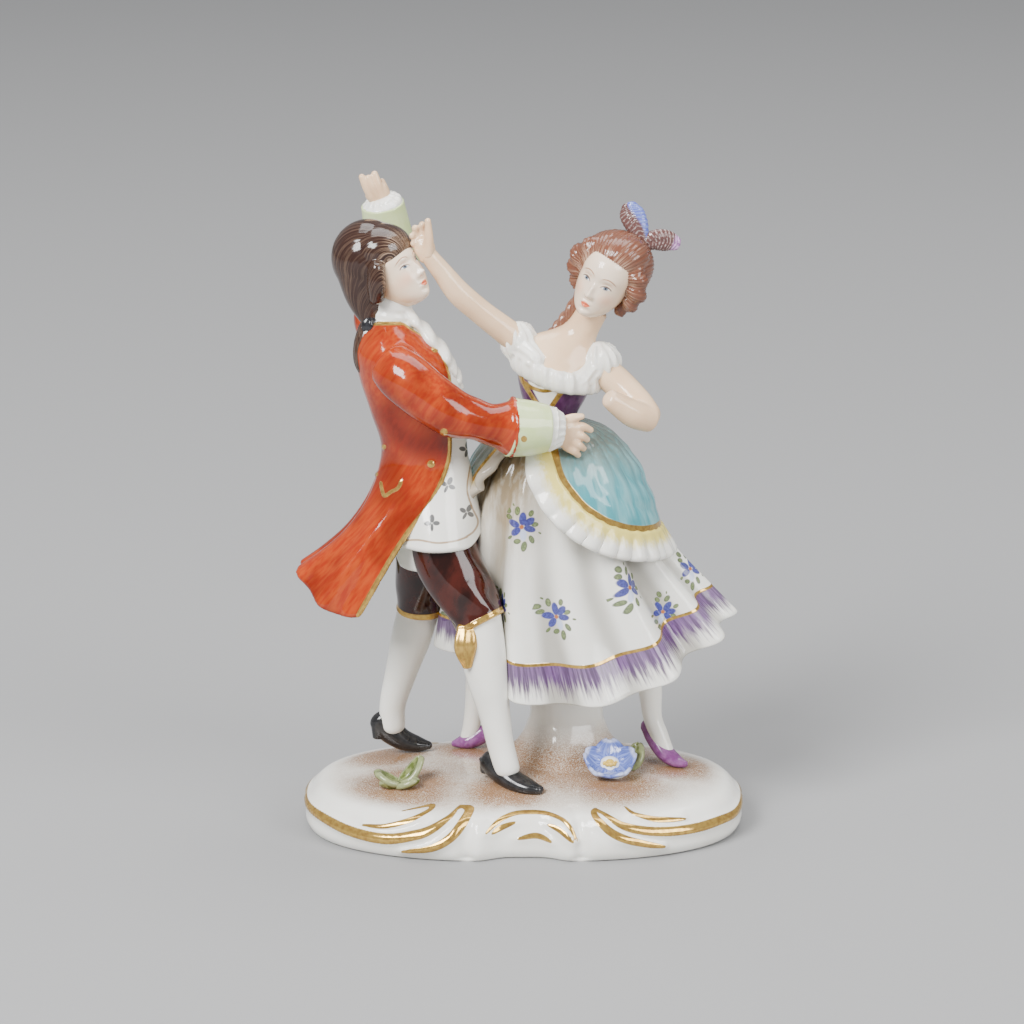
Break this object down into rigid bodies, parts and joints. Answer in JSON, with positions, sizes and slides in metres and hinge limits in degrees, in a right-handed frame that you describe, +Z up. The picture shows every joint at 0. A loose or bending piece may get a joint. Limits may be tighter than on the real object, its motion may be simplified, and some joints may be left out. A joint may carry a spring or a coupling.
{
  "type": "porcelain dancing couple figurine",
  "caption": "Painted porcelain figurine of a dancing couple in eighteenth-century dress on a scrolled oval plinth, an ornament that stands on its own base.",
  "frame": {"origin": "centre of the plinth's flat underside", "axes": "+Z up, +X to the viewer's right along the plinth, from the gentleman to the lady, +Y to the back"},
  "size_m": [0.1055, 0.0691, 0.154],
  "materials": {
    "porcelain": "clear gloss glaze over painted colours"
  },
  "bodies": {
    "root": {"dancing_couple": "porcelain"}
  },
  "joints": []
}
